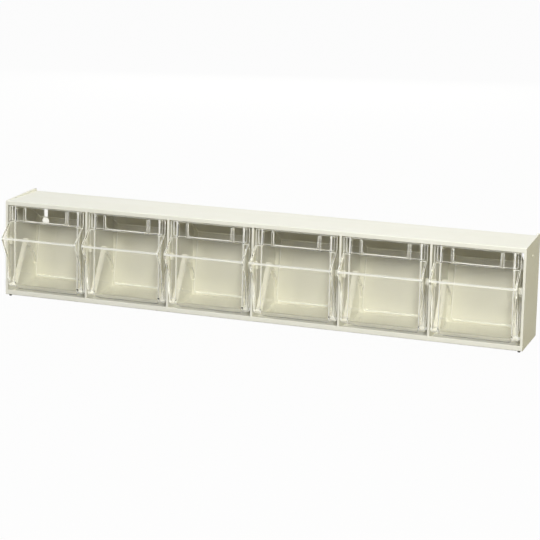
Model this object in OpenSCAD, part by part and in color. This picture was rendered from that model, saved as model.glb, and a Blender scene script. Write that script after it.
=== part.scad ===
// Parts bin cabinet: a one-piece moulded housing that holds a row of clear tilt-out bins.
// X runs along the row, the bins face -Y and Z is up. The origin is under the middle of the
// cabinet, nose to back, at the level of the surface that its feet stand on.

/* [Housing] */
// Width over the two end panels
body_w = 600; // [480:1:800]
// Depth of the housing from its front face to its back
body_d = 72; // [66:0.5:90]
// Height of the housing's front face
body_h = 109.3; // [104:0.1:130]
// Thickness of the end panels and of the dividers between the bins
wall = 2.7; // [2.2:0.1:4]
// Thickness of the top and floor panels
panel_t = 2.5; // [2:0.1:4]
// Thickness of the back panel
back_t = 2.5; // [2:0.1:4]
// Height of the fascia over the bins
fascia_h = 5.3; // [4.5:0.1:9]
// Height of the lip under the bins
lip_h = 5.5; // [4.5:0.1:8]
// Thickness of the fascia and of the lip
fascia_t = 2.5; // [1.8:0.1:4]
// Radius of the moulded front edges
edge_r = 1; // [0.5:0.1:1.2]
// Radius of the edges round the front opening
mouth_r = 0.8; // [0.3:0.1:1]
// Height that the end panels gain over the top panel at the back
side_rise = 3; // [1:0.5:8]

/* [Stop blocks] */
// Distance that a block reaches into the bin's space from the wall
stop_w = 5.3; // [4.5:0.1:6]
// Thickness of a block, front to back
stop_t = 1.7; // [1.2:0.1:2.5]
// Height of a block, whose top is level with the tip of the tilted bin's rib
stop_h = 7; // [5:0.5:30]

/* [Hanging and side details] */
// Diameter of a keyhole's round end, which the screw's head passes through
keyhole_d = 9.8; // [8:0.1:14]
// Width of a keyhole's slot, which the screw's shank runs up
keyhole_slot = 5.7; // [4.5:0.1:6.5]
// Height of the middle of the round end above the housing's underside
keyhole_z = 74.6; // [60:0.1:80]
// Rise of the slot's end over the middle of the round end
keyhole_rise = 22; // [10:0.5:24]
// Distance of a keyhole's middle from the nearer end of the housing
keyhole_inset = 16; // [12:0.5:40]
// Diameter of the small nib on the outside of each end panel
nib_d = 2.8; // [2:0.1:5]
// Distance that the nib stands out
nib_out = 0.6; // [0.2:0.1:1]
// Distance of the nib behind the front face
nib_y = 34.6; // [20:0.1:50]
// Height of the nib above the housing's underside
nib_z = 95.3; // [60:0.1:100]

/* [Feet] */
// Diameter of a foot
foot_d = 3.4; // [2.5:0.1:8]
// Height of a foot
foot_h = 2; // [1:0.1:4]
// Distance that a foot narrows towards its tip, on the diameter
foot_draft = 0.6; // [0:0.1:1]
// Distance of a foot's middle from the housing's end, front and back
foot_inset = 4.2; // [4:0.1:12]

/* [Bins] */
// Wall thickness of a bin
bin_wall = 1.7; // [1.2:0.1:2]
// Gap between a bin's front flange and the wall beside it
flange_gap = 2.3; // [1.5:0.1:3]
// Thickness of the front flange
flange_t = 2; // [1.8:0.1:2.5]
// Distance of the bin's side behind the flange's outer edge
side_step = 6; // [5:0.1:8]
// Distance that each side draws in from front to back
side_draft = 2; // [0.5:0.1:4]
// Gap between the top of the bin and the fascia
top_gap = 0.6; // [0.5:0.1:1.5]
// Distance from the back of the bin's rim to the back panel
rear_gap = 10.2; // [6:0.1:16]
// Drop of the side walls' rim below the bin's top edge, over the pivot
rim_drop = 3.3; // [1:0.1:5]
// Lean of the back wall, and slope of the floor square to it
lean = 8; // [4:0.5:12]
// Radius of the edge between the floor and the sides
floor_r = 7; // [4:0.5:9]

/* [Nose] */
// Distance that the nose stands out of the housing
nose_out = 20; // [12:0.5:30]
// Height of the nose's lower edge above the housing's underside
nose_z = 68.5; // [62:0.5:76]
// Height of the nose's blunt tip
nose_tip = 1.8; // [1.5:0.1:3]
// Height of the ledge at the top of the sloping front
ledge_z = 87.2; // [84:0.1:90]
// Height of the knee under the nose
knee_z = 45; // [38:0.5:52]
// Distance of the knee in front of the housing
knee_out = 7; // [5.5:0.1:9]
// Height of the shin, where the front turns in to the floor
shin_z = 23; // [21:0.5:28]
// Distance of the shin in front of the housing
shin_out = 5; // [4:0.1:5.5]

/* [Label holder] */
// Depth of the recess that the label holder stands in
recess_d = 1; // [0.6:0.1:1.2]
// Width of the flange left beside the recess
recess_edge = 3.3; // [2.5:0.1:5]
// Width of the label holder
label_w = 55.5; // [30:0.5:65]
// Width of the holder's three edges
label_edge = 3; // [2:0.1:5]
// Distance that the holder stands out in front of the housing
label_out = 1.5; // [0.5:0.1:2]
// Thickness of the lip over the card
label_lip = 1; // [0.6:0.1:1.2]
// Gap between the holder's top and the bin's top edge
label_drop = 1.5; // [0.5:0.1:4]
// Distance that the holder's lower edge reaches below the ledge
label_sink = 2; // [1:0.1:2.5]

/* [Pivots and stops] */
// Radius of a pivot peg
peg_r = 2; // [1.5:0.1:2.5]
// Clearance round a peg in its hole
peg_fit = 0.06; // [0.03:0.01:0.1]
// Gap between a peg's tip and the middle of the wall that it sits in
peg_gap = 0.15; // [0.1:0.05:0.4]
// Distance from the pivot to the underside of the bin's floor
heel = 6.2; // [5:0.1:7]
// Gap between the floor's sweep and the lip
lip_gap = 0.5; // [0.3:0.1:1.5]
// Gap between faces that meet at the stops
seat_gap = 0.3; // [0.2:0.05:0.5]
// Thickness of the stop rib
rib_t = 1.6; // [1.2:0.1:2]
// Reach of the stop rib from the pivot
rib_r = 54.5; // [52:0.5:56]
// Angle of the stop rib over the horizontal when the bin is shut
rib_angle = 61; // [56:0.5:66]
// Distance that the stop rib stands out of the bin's side
rib_out = 5; // [4.2:0.1:5]
// Radius of the curved rib, measured from the pivot
arc_r = 50.5; // [42:0.1:51]
// Distance that the curved rib stands out of the bin's side
arc_out = 2.2; // [1:0.1:2.5]

/* [Hidden] */
$fn = 64;
bin_count = 6;
eps = 0.01;
over = 1; // how far a cutter runs past what it cuts
far = 200;
arc_steps = 6;

ivory = [0.93, 0.93, 0.89];
clear = [0.86, 0.90, 0.88, 0.35];
dark_rubber = [0.12, 0.12, 0.12];

// The row of bins
pitch = (body_w - wall) / bin_count;
bin_x0 = wall + flange_gap;
bin_w = pitch - wall - 2 * flange_gap;
front_y = -(body_d - nose_out) / 2;

// The pivot lies behind the stop blocks, so that the stop rib comes to rest flat on their backs
stop_y = flange_t + seat_gap;
pivot_y = stop_y + stop_t + seat_gap + rib_t / 2;
pivot_z = lip_h + lip_gap + heel;
pivot = [pivot_y, pivot_z];

// Heights and depths of the bin
bin_top = body_h - fascia_h - top_gap;
rim_r = bin_top - pivot_z - rim_drop;
rim_y = body_d - back_t - rear_gap;
floor_z = pivot_z - heel;
rim_z = pivot_z + sqrt(rim_r * rim_r - (rim_y - pivot_y) * (rim_y - pivot_y));

// ---- Outlines: a path is a list of [across, up, corner radius], anticlockwise ----

function unit(v) = v / norm(v);
function flat2(p) = [p.x, p.y];
function left_of(v) = [-v.y, v.x];
function at(path, i) = flat2(path[(i + len(path)) % len(path)]);

// Point where the line through p along u meets the line through q along v
function meet(p, u, q, v) = p + u * cross(q - p, v) / cross(u, v);

// The same outline with every side moved inwards by d
function shrink(path, d) = [
    for (i = [0 : len(path) - 1])
        let (b = at(path, i),
             u = unit(b - at(path, i - 1)),
             v = unit(at(path, i + 1) - b),
             p = meet(b + d * left_of(u), u, b + d * left_of(v), v),
             turn = cross(u, v) > 0 ? -d : d,
             r = path[i].z == 0 ? 0 : max(path[i].z + turn, 0.2))
        [p.x, p.y, r]
];

// Corner b between a and c, as an arc of radius r
function corner(a, b, c, r) =
    let (u = unit(a - b),
         v = unit(c - b),
         half = acos(u * v) / 2,
         centre = b + unit(u + v) * r / sin(half),
         p = b + u * r / tan(half) - centre,
         q = b + v * r / tan(half) - centre,
         start = atan2(p.y, p.x),
         sweep = (atan2(q.y, q.x) - start + 540) % 360 - 180)
    [for (k = [0 : arc_steps]) centre + r * [cos(start + sweep * k / arc_steps),
                                             sin(start + sweep * k / arc_steps)]];

function rounded(path) = [
    for (i = [0 : len(path) - 1])
        let (b = at(path, i), r = path[i].z)
        each (r == 0 ? [b] : corner(at(path, i - 1), b, at(path, i + 1), r))
];

// Side view of the bin's front, from the nose down to the toe: y behind the front face, z up
front_path = [
    [-nose_out, nose_z + nose_tip, 0.8],
    [-nose_out, nose_z, 0.8],
    [-knee_out, knee_z, 8],
    [-shin_out, shin_z, 12],
    [0, pivot_z, 6],
];
floor_front = [pivot_y, floor_z];
toe_run = floor_front - [0, pivot_z];

// The floor rises towards the back and the back wall leans square to it
floor_back = meet(floor_front, [1, tan(lean)], [rim_y, rim_z], [tan(lean), 1]);

// Side view of the whole bin up to the given height. The front wall steps back over the ledge
function side_path(top) = concat(front_path, [
    [floor_front.x, floor_front.y, 5],
    [floor_back.x, floor_back.y, 6],
    [floor_back.x + (top - floor_back.y) * tan(lean), top, 0],
    [recess_d, top, 0],
    [recess_d, ledge_z, 0.4],
    [0, ledge_z, 0.5],
]);
bin_path = side_path(bin_top);
cavity_path = shrink(side_path(bin_top + 2 * bin_wall), bin_wall);

// Side view of the flange and of the cheeks that close the nose's ends
flange_path = concat(front_path, [
    [flange_t, pivot_z + toe_run.y * flange_t / toe_run.x, 0],
    [flange_t, bin_top, 0],
    [0, bin_top, 0.5],
    [0, ledge_z, 2],
]);

// ---- Helpers ----

// Extrudes a side view (y, z) along X from x0 over length l
module along_x(x0, l) {
    translate([x0, 0, 0])
        rotate([90, 0, 90])
            linear_extrude(l)
                children();
}

// Puts a bin's own frame at its place in the row
module in_bay(i) {
    translate([i * pitch - body_w / 2, front_y, foot_h])
        children();
}

// The same shape on the bay's other side
module other_side() {
    translate([pitch + wall, 0, 0])
        mirror([1, 0, 0])
            children();
}

module both_sides() {
    children();
    other_side()
        children();
}

// ---- Housing ----

// Top, floor, back, fascia and lip, as one profile that is open at the front
module shell_profile() {
    inner_y = body_d - back_t;
    top_z = body_h - panel_t;
    mouth_z = body_h - fascia_h;
    polygon(rounded([[0, 0, edge_r], [body_d, 0, 0], [body_d, body_h, 0], [0, body_h, edge_r],
                     [0, mouth_z, mouth_r], [fascia_t, mouth_z, mouth_r], [fascia_t, top_z, mouth_r],
                     [inner_y, top_z, mouth_r], [inner_y, panel_t, mouth_r], [fascia_t, panel_t, mouth_r],
                     [fascia_t, lip_h, mouth_r], [0, lip_h, mouth_r]]));
}

// End panel, whose top edge climbs towards the back
module end_profile() {
    polygon(rounded([[0, 0, edge_r], [body_d, 0, edge_r], [body_d, body_h + side_rise, edge_r],
                     [0, body_h, edge_r]]));
}

// Divider seen from above, with a softened front edge
module divider_plan() {
    r = edge_r / 2;
    polygon(rounded([[0, 0, r], [wall, 0, r], [wall, body_d - back_t / 2, 0], [0, body_d - back_t / 2, 0]]));
}

module stop_block() {
    translate([wall - eps, stop_y, pivot_z + rib_r - stop_h])
        cube([stop_w + eps, stop_t, stop_h]);
}

module keyhole() {
    translate([0, body_d + eps, keyhole_z])
        rotate([90, 0, 0]) {
            cylinder(h = back_t + 2 * eps, d = keyhole_d);
            translate([0, keyhole_rise, 0])
                cylinder(h = back_t + 2 * eps, d = keyhole_slot);
            translate([-keyhole_slot / 2, 0, 0])
                cube([keyhole_slot, keyhole_rise, back_t + 2 * eps]);
        }
}

// Hole that the pegs of the bins turn in: right through a divider, blind in an end panel
module pivot_hole(length) {
    translate([0, pivot_y, pivot_z])
        rotate([0, 90, 0])
            cylinder(h = length, r = peg_r + peg_fit);
}

module housing() {
    color(ivory)
        translate([-body_w / 2, front_y, foot_h])
            difference() {
                union() {
                    along_x(0, body_w)
                        shell_profile();
                    for (x = [0, body_w - wall])
                        along_x(x, wall)
                            end_profile();
                    for (i = [1 : bin_count - 1])
                        translate([i * pitch, 0, panel_t / 2])
                            linear_extrude(body_h - panel_t)
                                divider_plan();
                    for (i = [0 : bin_count - 1])
                        translate([i * pitch, 0, 0])
                            both_sides()
                                stop_block();
                    for (x = [-nib_out, body_w - wall / 2])
                        translate([x, nib_y, nib_z])
                            rotate([0, 90, 0])
                                cylinder(h = wall / 2 + nib_out, d = nib_d);
                }
                for (i = [1 : bin_count - 1])
                    translate([i * pitch - eps, 0, 0])
                        pivot_hole(wall + 2 * eps);
                for (x = [wall / 2, body_w - wall - eps])
                    translate([x, 0, 0])
                        pivot_hole(wall / 2 + eps);
                for (x = [keyhole_inset, body_w - keyhole_inset])
                    translate([x, 0, 0])
                        keyhole();
            }
}

// ---- Bin ----

// Everything on the inner side of one side wall and over the floor, with the edge between them
// rounded. Both faces stand square to the sloping floor, and the side draws in towards the back
module side_block(inset) {
    length = body_d + 2 * nose_out;
    size = 2 * body_h;
    r = floor_r - inset;
    translate([bin_x0 + side_step + inset, 0, floor_z - pivot_y * tan(lean) + inset / cos(lean)])
        rotate([lean, 0, 0])
            rotate([0, 0, -atan(side_draft / rim_y)])
                translate([0, length, 0])
                    rotate([90, 0, 0])
                        linear_extrude(2 * length)
                            polygon(rounded([[0, 0, r], [size, 0, 0], [size, size, 0], [0, size, 0]]));
}

// The bin's body as a solid, or its cavity where path and inset lie a wall further in
module body_form(path, inset) {
    intersection() {
        along_x(0, pitch + wall)
            polygon(rounded(path));
        side_block(inset);
        other_side()
            side_block(inset);
    }
}

// The recess above the ledge that the label holder stands in
module label_recess() {
    x0 = bin_x0 + recess_edge;
    x1 = bin_x0 + bin_w - recess_edge;
    translate([0, recess_d, 0])
        rotate([90, 0, 0])
            linear_extrude(recess_d + over)
                polygon(rounded([[x0, ledge_z, 1.5], [x1, ledge_z, 1.5], [x1, body_h, 0], [x0, body_h, 0]]));
}

// Flange, sloping front and nose over the bin's whole width
module front_form() {
    difference() {
        along_x(bin_x0, bin_w)
            polygon(rounded(flange_path));
        label_recess();
    }
}

// Hollow of the nose, up to the flange's thickness
module nose_cavity() {
    intersection() {
        along_x(bin_x0 + bin_wall, bin_w - 2 * bin_wall)
            polygon(rounded(cavity_path));
        translate([0, -nose_out, 0])
            cube([pitch + wall, nose_out + flange_t - bin_wall, body_h]);
    }
}

// The side walls' rim is an arc about the pivot, so that it clears the fascia as the bin tilts
module above_rim() {
    difference() {
        translate([0, flange_t + bin_wall, pivot_z])
            cube([pitch + wall, body_d, far]);
        along_x(-over, pitch + wall + 2 * over)
            translate(pivot)
                circle(rim_r, $fn = 160);
    }
}

// Straight rib that comes to rest on the back of the stop block
module stop_rib() {
    x = bin_x0 + side_step - rib_out;
    along_x(x, rib_out + side_draft + bin_wall / 2)
        translate(pivot)
            rotate(rib_angle)
                translate([0, -rib_t / 2])
                    square([rib_r, rib_t]);
}

// Curved rib that stiffens the side, from the stop rib round to the floor's back edge
module arc_rib() {
    x = bin_x0 + side_step - arc_out;
    along_x(x, arc_out + side_draft + bin_wall / 2)
        intersection() {
            translate(pivot)
                difference() {
                    circle(arc_r, $fn = 128);
                    circle(arc_r - rib_t, $fn = 128);
                }
            translate(pivot)
                polygon([[0, 0], [far, 0], far * [cos(rib_angle), sin(rib_angle)]]);
            polygon(rounded(bin_path));
        }
}

module peg() {
    x0 = wall / 2 + peg_gap;
    length = bin_x0 + side_step + bin_wall / 2 - x0;
    translate([x0, pivot_y, pivot_z])
        rotate([0, 90, 0])
            cylinder(h = length, r = peg_r);
}

// Three-sided frame with a slot behind its lip that a card slides down into
module label_holder() {
    x0 = (pitch + wall - label_w) / 2;
    bottom = ledge_z - label_sink;
    height = bin_top - label_drop - bottom;
    window_w = label_w - 2 * label_edge;
    depth = recess_d + label_out;
    translate([x0, recess_d + eps, bottom])
        rotate([90, 0, 0])
            difference() {
                linear_extrude(depth + eps)
                    difference() {
                        square([label_w, height]);
                        translate([label_edge, label_edge])
                            polygon(rounded([[0, 0, label_edge], [window_w, 0, label_edge],
                                             [window_w, height, 0], [0, height, 0]]));
                    }
                translate([label_edge / 2, label_edge / 2, -over])
                    cube([label_w - label_edge, height, depth - label_lip + over]);
            }
}

module bin(i) {
    color(clear)
        in_bay(i) {
            difference() {
                union() {
                    body_form(bin_path, 0);
                    both_sides() {
                        stop_rib();
                        arc_rib();
                        peg();
                    }
                }
                body_form(cavity_path, bin_wall);
                above_rim();
                nose_cavity();
            }
            difference() {
                union() {
                    front_form();
                    label_holder();
                }
                body_form(cavity_path, bin_wall);
                nose_cavity();
            }
        }
}

module bin_1() { bin(0); }
module bin_2() { bin(1); }
module bin_3() { bin(2); }
module bin_4() { bin(3); }
module bin_5() { bin(4); }
module bin_6() { bin(5); }

// ---- Feet ----

module foot(side, y) {
    color(dark_rubber)
        translate([side * (body_w / 2 - foot_inset), front_y + y, 0])
            cylinder(h = foot_h, d1 = foot_d - foot_draft, d2 = foot_d);
}

module foot_front_left() { foot(-1, foot_inset); }
module foot_front_right() { foot(1, foot_inset); }
module foot_back_left() { foot(-1, body_d - foot_inset); }
module foot_back_right() { foot(1, body_d - foot_inset); }

housing();
bin_1();
bin_2();
bin_3();
bin_4();
bin_5();
bin_6();
foot_front_left();
foot_front_right();
foot_back_left();
foot_back_right();
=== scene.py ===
"""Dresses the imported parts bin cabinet: ivory housing, clear tilt-out bins and dark feet.

Everything is in metres in the part's own frame: X along the row, the bins face -Y, Z up.
"""
import math

import bpy
from mathutils import Matrix, Vector


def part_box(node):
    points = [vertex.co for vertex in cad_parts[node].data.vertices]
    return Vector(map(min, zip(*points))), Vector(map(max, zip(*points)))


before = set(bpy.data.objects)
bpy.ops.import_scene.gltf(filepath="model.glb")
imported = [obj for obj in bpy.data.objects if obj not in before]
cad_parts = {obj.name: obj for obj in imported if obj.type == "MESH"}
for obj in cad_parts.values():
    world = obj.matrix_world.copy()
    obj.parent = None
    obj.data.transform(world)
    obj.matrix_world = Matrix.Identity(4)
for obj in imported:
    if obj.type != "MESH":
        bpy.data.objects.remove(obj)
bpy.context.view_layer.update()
scene = bpy.context.scene

BINS = [f"bin_{n}" for n in range(1, 7)]
FEET = ["foot_front_left", "foot_front_right", "foot_back_left", "foot_back_right"]
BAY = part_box("bin_2")[0][0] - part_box("bin_1")[0][0]


def front_of(name):
    """The least Y of a piece at rest."""
    return min(vertex.co.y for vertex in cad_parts[name].data.vertices)


HOUSING_FRONT = front_of("housing")
NOSE_TIP = front_of("bin_1")

# Camera: the photograph's view. The picture is square, and a shift keeps the uprights nearly upright
PICTURE = 540
SENSOR = 36.0
FOCAL_PIXELS = 1762.4
CENTRE_ROW = 150
CAMERA_AT = (0.6361, -1.7903, 0.4829)
TURN, PITCH, ROLL = math.radians(19.32), math.radians(-8.814), math.radians(-1.358)
CLIP_END = 50

# Colours, linear
IVORY = (0.83, 0.82, 0.73, 1)
IVORY_DEEP = (0.81, 0.80, 0.70, 1)
CLEAR_TINT = (0.98, 0.972, 0.925, 1)
CLEAR_SHADOW = (0.99, 0.99, 0.985, 1)
CLEAR_BOUNCE = (0.70, 0.67, 0.46, 1)
# The painted highlight on the clear bins: its white and its translucent glow
HIGHLIGHT_WHITE = (0.95, 0.95, 0.93, 1)
HIGHLIGHT_GLOW = (0.5, 0.5, 0.48, 1)
# The feet's near-black is painted shade, for the dark beneath the cabinet
FEET_SHADE_BLACK = (0.02, 0.02, 0.02, 1)
PAPER_WHITE = (1, 1, 1, 1)
FLOOR_WHITE = (0.35, 0.34, 0.3, 1)
WORLD_TINT = (1.0, 0.95, 0.72, 1)

# Finish: index of refraction, least and greatest roughness, and how strongly the ivory reflects
STYRENE_IOR = 1.5
IVORY_ROUGH = (0.42, 0.52)
IVORY_SHEEN = 0.3
CLEAR_ROUGH = (0.0, 0.03)
EDGE_ROUGH = 0.25
EDGE_CLEAR = 0.15
FEET_SHADE_ROUGH = (0.6, 0.8)
FLOOR_ROUGH = 0.9
NOISE_RANGE = (0.3, 0.7)

# Surroundings: their light, the share of plain white that the camera and gloss see, half the floor's side
WORLD_LIGHT = 0.03
FLOOR_SHARE = 0.97
GLOSS_WHITE = 0.3
FLOOR_HALF = 6.0

# Where a painted highlight makes a clear bin look white, in the part's frame at rest: along sharp edges,
# on the blunt nose, in front of the side walls' ends, on the ribs, on the rounded corners and on the rims.
# The sides are measured from the middle of the bay. A pair of values says where the white starts and where
# it is full, and FADE is the distance between the two elsewhere
EDGE_REACH = 0.0016
EDGE_SAMPLES = 6
EDGE_TURN = (0.97, 0.85)
FADE = 0.0003
NOSE_FROM = NOSE_TIP + 0.0004
FLANGE_BACK = (HOUSING_FRONT + 0.0024, HOUSING_FRONT + 0.0023)
FLANGE_FRONT = HOUSING_FRONT - 0.0008
SIDE_IN = 0.0384
SIDE_OUT = 0.0401
FACES_FRONT = (0.4, 0.6)
RIB_FROM = (SIDE_OUT + 0.0002, SIDE_OUT + 0.0004)
TOE_TOP = (0.0205, 0.02)
CORNER_TURN = (0.483, 0.495)
RIM_LOW = 0.081
FACES_UP = (0.76, 0.78)
# How strong each painted highlight is
NOSE_HIGHLIGHT, RIB_HIGHLIGHT, CORNER_HIGHLIGHT, RIM_HIGHLIGHT = 0.55, 0.65, 0.8, 0.8

# Past this many turns a ray that is caught in a clear bin meets white, a painted highlight
LAST_TURN = 7


# ---- Node helpers ----

def new_material(name):
    """An empty node material: (material, its tree, its output node)."""
    mat = bpy.data.materials.new(name)
    mat.use_nodes = True
    tree = mat.node_tree
    tree.nodes.clear()
    return mat, tree, tree.nodes.new("ShaderNodeOutputMaterial")


def add(tree, kind, **inputs):
    """A node of that kind, with plain values on the inputs named (underscores stand for spaces)."""
    made = tree.nodes.new(kind)
    for key, value in inputs.items():
        made.inputs[key.replace("_", " ")].default_value = value
    return made


def noise(tree, scale, detail=2.0, stretch=(1, 1, 1)):
    """Noise in the part's own coordinates, in metres: its value output."""
    place = tree.nodes.new("ShaderNodeTexCoord")
    squeeze = tree.nodes.new("ShaderNodeMapping")
    squeeze.inputs["Scale"].default_value = stretch
    texture = add(tree, "ShaderNodeTexNoise", Scale=scale, Detail=detail)
    tree.links.new(place.outputs["Object"], squeeze.inputs["Vector"])
    tree.links.new(squeeze.outputs["Vector"], texture.inputs["Vector"])
    return texture.outputs["Fac"]


def spread(tree, value, low, high):
    """The noise value, whose usual range is mapped onto low..high."""
    start, end = NOISE_RANGE
    ramp = add(tree, "ShaderNodeMapRange", From_Min=start, From_Max=end, To_Min=low, To_Max=high)
    tree.links.new(value, ramp.inputs["Value"])
    return ramp.outputs["Result"]


def math_node(tree, operation, *values):
    """A Math node over sockets and plain numbers: its output."""
    made = tree.nodes.new("ShaderNodeMath")
    made.operation = operation
    for socket, value in zip(made.inputs, values):
        if isinstance(value, bpy.types.NodeSocket):
            tree.links.new(value, socket)
        else:
            socket.default_value = value
    return made.outputs[0]


def product(tree, first, *others):
    for other in others:
        first = math_node(tree, "MULTIPLY", first, other)
    return first


def largest(tree, first, *others):
    for other in others:
        first = math_node(tree, "MAXIMUM", first, other)
    return first


def step(tree, value, start, full):
    """0 at start, 1 at full and even between them."""
    ramp = add(tree, "ShaderNodeMapRange", From_Min=start, From_Max=full)
    tree.links.new(value, ramp.inputs["Value"])
    return ramp.outputs["Result"]


def parts_of(tree, vector):
    """The vector's three parts."""
    split = tree.nodes.new("ShaderNodeSeparateXYZ")
    tree.links.new(vector, split.inputs[0])
    return split.outputs["X"], split.outputs["Y"], split.outputs["Z"]


def bump(tree, height, strength, distance):
    made = add(tree, "ShaderNodeBump", Strength=strength, Distance=distance)
    tree.links.new(height, made.inputs["Height"])
    return made.outputs["Normal"]


def blend(tree, share, first, second):
    """The first shader, with the second mixed in by share."""
    mix = tree.nodes.new("ShaderNodeMixShader")
    for socket, value in zip(mix.inputs, (share, first, second)):
        tree.links.new(value, socket)
    return mix.outputs["Shader"]


# ---- Materials ----

def ivory_plastic():
    """Moulded polystyrene: a soft sheen, faint flow marks along the row and a fine skin."""
    mat, tree, out = new_material("ivory_plastic")
    shader = add(tree, "ShaderNodeBsdfPrincipled", IOR=STYRENE_IOR, Specular_IOR_Level=IVORY_SHEEN)
    flow = noise(tree, scale=9.0, detail=3.0, stretch=(1, 4, 4))
    patches = noise(tree, scale=60.0)
    skin = noise(tree, scale=2200.0)
    tint = tree.nodes.new("ShaderNodeMix")
    tint.data_type = "RGBA"
    colour_a, colour_b, colour_out = tint.inputs[6], tint.inputs[7], tint.outputs[2]
    colour_a.default_value = IVORY
    colour_b.default_value = IVORY_DEEP
    tree.links.new(spread(tree, flow, 0, 1), tint.inputs[0])
    tree.links.new(colour_out, shader.inputs["Base Color"])
    tree.links.new(spread(tree, patches, *IVORY_ROUGH), shader.inputs["Roughness"])
    tree.links.new(bump(tree, skin, strength=0.05, distance=0.0001), shader.inputs["Normal"])
    tree.links.new(shader.outputs["BSDF"], out.inputs["Surface"])
    return mat


def sharp_edges(tree):
    """1 along the sharp edges, where the true and the softened surface differ."""
    soft = add(tree, "ShaderNodeBevel", Radius=EDGE_REACH)
    soft.samples = EDGE_SAMPLES
    flat = tree.nodes.new("ShaderNodeNewGeometry")
    dot = tree.nodes.new("ShaderNodeVectorMath")
    dot.operation = "DOT_PRODUCT"
    tree.links.new(soft.outputs["Normal"], dot.inputs[0])
    tree.links.new(flat.outputs["Normal"], dot.inputs[1])
    return step(tree, dot.outputs["Value"], *EDGE_TURN)


def painted_highlight_in_front(tree, y, ny, aside, ahead):
    """Painted highlight on the blunt nose and on the flange in front of the side walls' ends."""
    nose = product(tree, step(tree, y, NOSE_FROM, NOSE_FROM - FADE), NOSE_HIGHLIGHT)
    on_flange = product(tree, ahead, step(tree, y, FLANGE_FRONT, FLANGE_FRONT + FADE))
    past_in = step(tree, aside, SIDE_IN, SIDE_IN + FADE)
    within_out = step(tree, aside, SIDE_OUT, SIDE_OUT - FADE)
    wall_end = product(tree, past_in, within_out, on_flange, step(tree, ny, *FACES_FRONT))
    return largest(tree, nose, wall_end)


def painted_highlight_behind(tree, z, normal, aside, behind):
    """Painted highlight on the ribs, on the rounded edges of the floor and on the rims."""
    nx, ny, nz = normal
    rib = product(tree, step(tree, aside, *RIB_FROM), behind, RIB_HIGHLIGHT)
    turned = largest(tree, product(tree, nx, nz), product(tree, ny, nz))
    off_slope = largest(tree, behind, step(tree, z, *TOE_TOP))
    corner = product(tree, step(tree, turned, *CORNER_TURN), off_slope, CORNER_HIGHLIGHT)
    high = step(tree, z, RIM_LOW, RIM_LOW + FADE)
    rim = product(tree, step(tree, nz, *FACES_UP), high, behind, RIM_HIGHLIGHT)
    return largest(tree, rib, corner, rim)


def painted_highlight_mask(tree):
    """Painted highlight on clear mouldings: 1 where it stands for gathered light, 0 where plain and flat.
    """
    place = tree.nodes.new("ShaderNodeTexCoord")
    x, y, z = parts_of(tree, place.outputs["Object"])
    normal = [math_node(tree, "ABSOLUTE", n) for n in parts_of(tree, place.outputs["Normal"])]
    in_bay = math_node(tree, "WRAP", x, BAY, 0.0)
    aside = math_node(tree, "ABSOLUTE", math_node(tree, "SUBTRACT", in_bay, BAY / 2))
    ahead = step(tree, y, *FLANGE_BACK)
    behind = step(tree, ahead, 1.0, 0.0)
    rays = tree.nodes.new("ShaderNodeLightPath")
    caught = math_node(tree, "GREATER_THAN", rays.outputs["Ray Depth"], LAST_TURN)
    in_front = painted_highlight_in_front(tree, y, normal[1], aside, ahead)
    return largest(tree, sharp_edges(tree), in_front, painted_highlight_behind(tree, z, normal, aside, behind), caught)


def clear_plastic():
    """Clear polystyrene with painted highlights. Lamps and the light in the housing pass through it."""
    mat, tree, out = new_material("clear_plastic")
    glass = add(tree, "ShaderNodeBsdfPrincipled", Base_Color=CLEAR_TINT, IOR=STYRENE_IOR,
                Transmission_Weight=1.0)
    waves = noise(tree, scale=55.0, detail=1.0, stretch=(1, 1, 0.5))
    tree.links.new(spread(tree, noise(tree, scale=40.0), *CLEAR_ROUGH), glass.inputs["Roughness"])
    tree.links.new(bump(tree, waves, strength=0.12, distance=0.0006), glass.inputs["Normal"])
    highlight_surface = add(tree, "ShaderNodeBsdfPrincipled", Base_Color=HIGHLIGHT_WHITE, IOR=STYRENE_IOR,
               Transmission_Weight=EDGE_CLEAR, Roughness=EDGE_ROUGH)
    highlight_glow = add(tree, "ShaderNodeBsdfTranslucent", Color=HIGHLIGHT_GLOW)
    lit = tree.nodes.new("ShaderNodeAddShader")
    tree.links.new(highlight_surface.outputs["BSDF"], lit.inputs[0])
    tree.links.new(highlight_glow.outputs["BSDF"], lit.inputs[1])
    # Painted highlight: a lit white surface mixed into the clear plastic wherever the mask asks for it
    shader = blend(tree, painted_highlight_mask(tree), glass.outputs["BSDF"], lit.outputs["Shader"])
    rays = tree.nodes.new("ShaderNodeLightPath")
    for ray, colour in (("Is Diffuse Ray", CLEAR_BOUNCE), ("Is Shadow Ray", CLEAR_SHADOW)):
        through = add(tree, "ShaderNodeBsdfTransparent", Color=colour)
        shader = blend(tree, rays.outputs[ray], shader, through.outputs["BSDF"])
    tree.links.new(shader, out.inputs["Surface"])
    return mat


def foot_rubber():
    """Matt near-black with a fine grain: painted shade, for the dark of the feet under the cabinet."""
    mat, tree, out = new_material("foot_rubber")
    shader = add(tree, "ShaderNodeBsdfPrincipled", Base_Color=FEET_SHADE_BLACK)
    grain = noise(tree, scale=3000.0)
    tree.links.new(spread(tree, noise(tree, scale=900.0), *FEET_SHADE_ROUGH), shader.inputs["Roughness"])
    tree.links.new(bump(tree, grain, strength=0.2, distance=0.0001), shader.inputs["Normal"])
    tree.links.new(shader.outputs["BSDF"], out.inputs["Surface"])
    return mat


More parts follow.
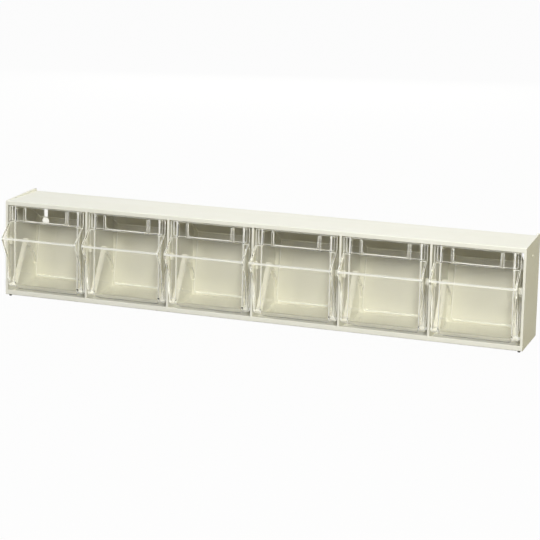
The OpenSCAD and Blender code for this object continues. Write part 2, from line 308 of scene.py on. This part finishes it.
def white_to_camera(tree, shader, share):
    """The shader, with plain white mixed in by share for the camera and glass, and less for gloss."""
    rays = tree.nodes.new("ShaderNodeLightPath")
    gloss = product(tree, rays.outputs["Is Glossy Ray"], GLOSS_WHITE)
    seen = largest(tree, gloss, rays.outputs["Is Transmission Ray"], rays.outputs["Is Camera Ray"])
    white = add(tree, "ShaderNodeEmission", Color=PAPER_WHITE, Strength=1.0)
    return blend(tree, product(tree, seen, share), shader, white.outputs["Emission"])


def paint(obj, mat):
    obj.data.materials.clear()
    obj.data.materials.append(mat)


# ---- Studio ----

def make_floor():
    """A pale floor far wider than the cabinet, which keeps a faint shadow."""
    mesh = bpy.data.meshes.new("floor")
    corners = [(x * FLOOR_HALF, y * FLOOR_HALF, 0) for x, y in ((-1, -1), (1, -1), (1, 1), (-1, 1))]
    mesh.from_pydata(corners, [], [(0, 1, 2, 3)])
    floor = bpy.data.objects.new("floor", mesh)
    scene.collection.objects.link(floor)
    mat, tree, out = new_material("floor_white")
    shader = add(tree, "ShaderNodeBsdfPrincipled", Base_Color=FLOOR_WHITE, Roughness=FLOOR_ROUGH)
    tree.links.new(white_to_camera(tree, shader.outputs["BSDF"], FLOOR_SHARE), out.inputs["Surface"])
    mesh.materials.append(mat)


def make_world():
    """Faint warm light from all around, and white where the camera looks past the floor."""
    world = bpy.data.worlds.new("studio")
    scene.world = world
    world.use_nodes = True
    tree = world.node_tree
    tree.nodes.clear()
    out = tree.nodes.new("ShaderNodeOutputWorld")
    soft = add(tree, "ShaderNodeBackground", Color=WORLD_TINT, Strength=WORLD_LIGHT)
    tree.links.new(white_to_camera(tree, soft.outputs["Background"], 1.0), out.inputs["Surface"])


def make_lamp(name, at, target, size, power, colour, seen=True):
    """A rectangular soft lamp at a place, facing a target, and seen in gloss and glass or not."""
    data = bpy.data.lights.new(name, "AREA")
    data.shape = "RECTANGLE"
    data.size, data.size_y = size
    data.energy = power
    data.color = colour
    lamp = bpy.data.objects.new(name, data)
    lamp.location = at
    lamp.rotation_euler = (Vector(target) - Vector(at)).to_track_quat("-Z", "Y").to_euler()
    lamp.visible_glossy = seen
    lamp.visible_transmission = seen
    scene.collection.objects.link(lamp)


def make_lamps():
    """Soft light from above, a key from the front right, two low fills, and one behind for the back."""
    ground = (0, 0, 0)
    middle = (0, 0, 0.05)
    make_lamp("lamp_top", at=(0, 0.3, 2.0), target=ground, size=(1.8, 1.2), power=24.5,
              colour=(0.94, 0.955, 1.0), seen=False)
    make_lamp("lamp_front", at=(0.88, -1.82, 1.25), target=middle, size=(0.45, 0.5), power=44,
              colour=(0.98, 0.985, 1.0))
    make_lamp("lamp_left", at=(-1.3, -1.7, 0.9), target=middle, size=(0.9, 0.7), power=8,
              colour=(0.98, 0.99, 1.0))
    make_lamp("lamp_back", at=(-0.7, 2.2, 0.55), target=middle, size=(1.2, 0.8), power=32,
              colour=(0.97, 0.98, 1.0), seen=False)
    make_lamp("lamp_right", at=(2.3, -0.4, 0.8), target=middle, size=(1.0, 1.0), power=5.7,
              colour=(1.0, 0.82, 0.01))


def make_camera():
    """The camera that took the photograph, as fitted to it."""
    data = bpy.data.cameras.new("camera")
    data.sensor_width = SENSOR
    data.lens = FOCAL_PIXELS / PICTURE * SENSOR
    data.shift_y = (CENTRE_ROW - PICTURE / 2) / PICTURE
    data.clip_end = CLIP_END
    camera = bpy.data.objects.new("camera", data)
    turned = Matrix.Rotation(TURN, 3, "Z") @ Matrix.Rotation(PITCH, 3, "X") @ Matrix.Rotation(ROLL, 3, "Y")
    right, ahead, up = turned.col[0], turned.col[1], turned.col[2]
    basis = Matrix((right, up, -ahead)).transposed().to_4x4()
    camera.matrix_world = Matrix.Translation(CAMERA_AT) @ basis
    scene.collection.objects.link(camera)
    scene.camera = camera


make_camera()
scene.view_settings.view_transform = "Standard"
make_world()
make_floor()
make_lamps()

paint(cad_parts["housing"], ivory_plastic())
clear = clear_plastic()
for name in BINS:
    paint(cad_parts[name], clear)
# The feet get painted shade: near-black for the dark beneath the cabinet
feet_shade = foot_rubber()
for name in FEET:
    paint(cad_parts[name], feet_shade)
